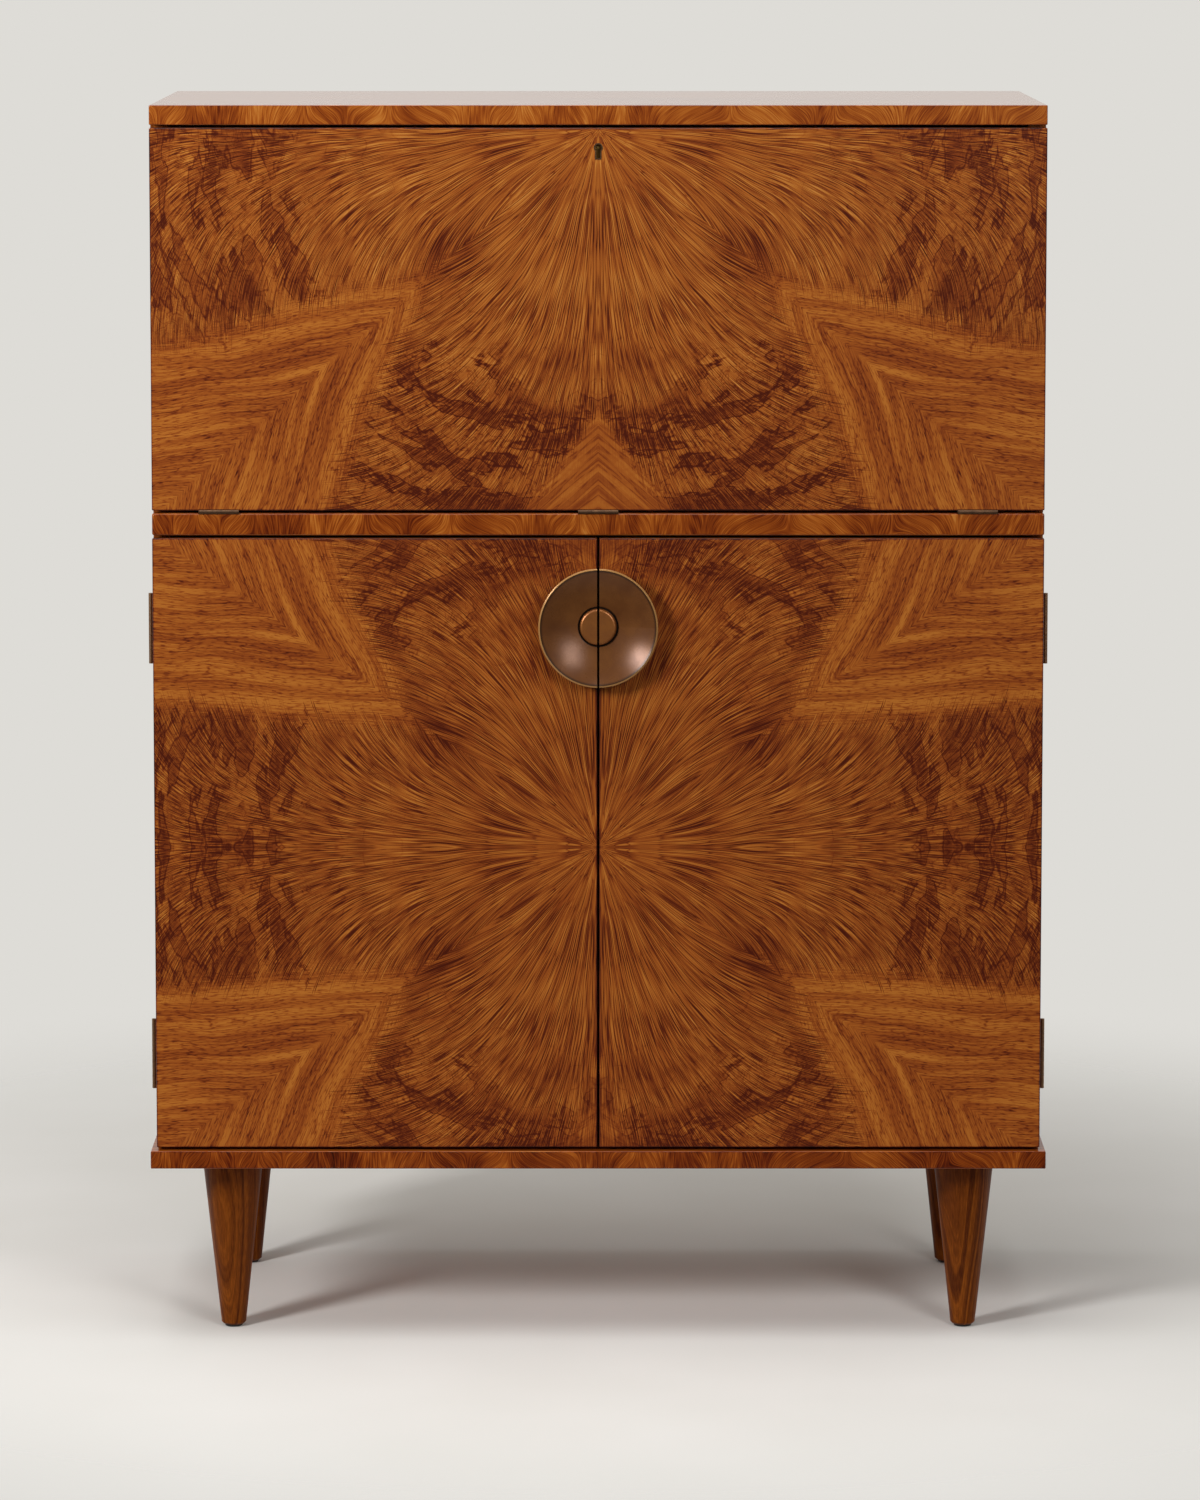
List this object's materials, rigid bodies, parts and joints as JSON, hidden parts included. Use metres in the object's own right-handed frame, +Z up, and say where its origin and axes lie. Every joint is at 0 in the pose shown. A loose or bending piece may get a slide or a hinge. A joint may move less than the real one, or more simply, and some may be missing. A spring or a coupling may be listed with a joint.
{
  "type": "bar cabinet with fold out shelf",
  "caption": "Tall bar cabinet on tapered legs: a drop front that folds out as a shelf on slotted stays, hinged doors below it with a split round dished pull, and shelves inside.",
  "frame": {"origin": "on the floor, under the middle of the cabinet's outer box", "axes": "+Z up, -Y towards the front with the flap and doors, +X to the right seen from the front"},
  "size_m": [1.0132, 0.4719, 1.4],
  "materials": {
    "walnut_veneer": "gloss lacquer",
    "inside_wood": "satin lacquer",
    "back_ply": "matt",
    "leg_wood": "satin lacquer",
    "bronze": "dark patina",
    "hinge_brass": "dull aged",
    "lock_brass": "dull aged",
    "stay_brass": "satin",
    "steel": "plain",
    "shelf_glass": "polished",
    "dark_plastic": "matt"
  },
  "bodies": {
    "case": {"top_panel": "walnut_veneer", "left_side": "walnut_veneer", "right_side": "walnut_veneer", "front_rail": "walnut_veneer", "base_board": "walnut_veneer", "middle_board": "inside_wood", "bar_deck": "inside_wood", "cupboard_shelf": "inside_wood", "case_dowels": "inside_wood", "back_panel": "back_ply", "leg_front_left": "leg_wood", "leg_front_right": "leg_wood", "leg_rear_left": "leg_wood", "leg_rear_right": "leg_wood", "left_hinge_side_leaves": "hinge_brass", "right_hinge_side_leaves": "hinge_brass", "flap_hinge_rail_leaves": "hinge_brass", "door_hinge_pins": "hinge_brass", "flap_hinge_pins": "hinge_brass", "side_hinge_screws": "hinge_brass", "rail_hinge_screws": "hinge_brass", "lock_strike": "lock_brass", "strike_screws": "lock_brass", "stay_pins": "stay_brass", "cupboard_shelf_pins": "stay_brass", "glass_shelf_pins": "stay_brass", "leg_bolts": "steel", "back_screws": "steel", "catch_screws": "steel", "glass_shelf": "shelf_glass", "leg_glides": "dark_plastic", "door_catches": "dark_plastic"},
    "flap": {"flap_panel": "walnut_veneer", "flap_hinge_flap_leaves": "hinge_brass", "flap_hinge_screws": "hinge_brass", "keyhole_escutcheon": "lock_brass", "lock_case": "lock_brass", "lock_screws": "lock_brass", "stay_brackets": "stay_brass", "stay_bracket_screws": "stay_brass"},
    "lock_bolt": {"lock_bolt": "steel"},
    "left_stay_arm": {"left_stay_arm": "stay_brass"},
    "left_door": {"left_door_panel": "walnut_veneer", "left_hinge_door_leaves": "hinge_brass", "left_hinge_door_screws": "hinge_brass", "left_pull": "bronze", "left_pull_button": "bronze", "left_pull_screws": "steel", "left_catch_plate": "steel", "left_catch_plate_screws": "steel"},
    "right_stay_arm": {"right_stay_arm": "stay_brass"},
    "right_door": {"right_door_panel": "walnut_veneer", "right_hinge_door_leaves": "hinge_brass", "right_hinge_door_screws": "hinge_brass", "right_pull": "bronze", "right_pull_button": "bronze", "right_pull_screws": "steel", "right_catch_plate": "steel", "right_catch_plate_screws": "steel"}
  },
  "joints": [
    {"name": "flap_hinge", "type": "hinge", "parent": "case", "child": "flap", "pos_m": [0, -0.214, 0.94512], "axis": [1, 0, 0], "range_deg": [0, 90]},
    {"name": "left_door_hinge", "type": "hinge", "parent": "case", "child": "left_door", "pos_m": [-0.5035, -0.19237, 0.56825], "axis": [0, 0, -1], "range_deg": [0, 180]},
    {"name": "right_door_hinge", "type": "hinge", "parent": "case", "child": "right_door", "pos_m": [0.5035, -0.19237, 0.56825], "axis": [0, 0, 1], "range_deg": [0, 180]},
    {"name": "lock_bolt_slide", "type": "slide", "parent": "flap", "child": "lock_bolt", "axis": [0, 0, 1], "range_m": [0, 0.008]},
    {"name": "left_stay_pivot", "type": "hinge", "parent": "flap", "child": "left_stay_arm", "pos_m": [-0.4715, -0.18, 1.14221], "axis": [1, 0, 0], "range_deg": [-45, 0]},
    {"name": "right_stay_pivot", "type": "hinge", "parent": "flap", "child": "right_stay_arm", "pos_m": [0.4715, -0.18, 1.14221], "axis": [1, 0, 0], "range_deg": [-45, 0]}
  ],
  "couplings": [
    {"joint": "left_stay_pivot", "follows": "flap_hinge", "ratio": -0.5},
    {"joint": "right_stay_pivot", "follows": "flap_hinge", "ratio": -0.5}
  ]
}
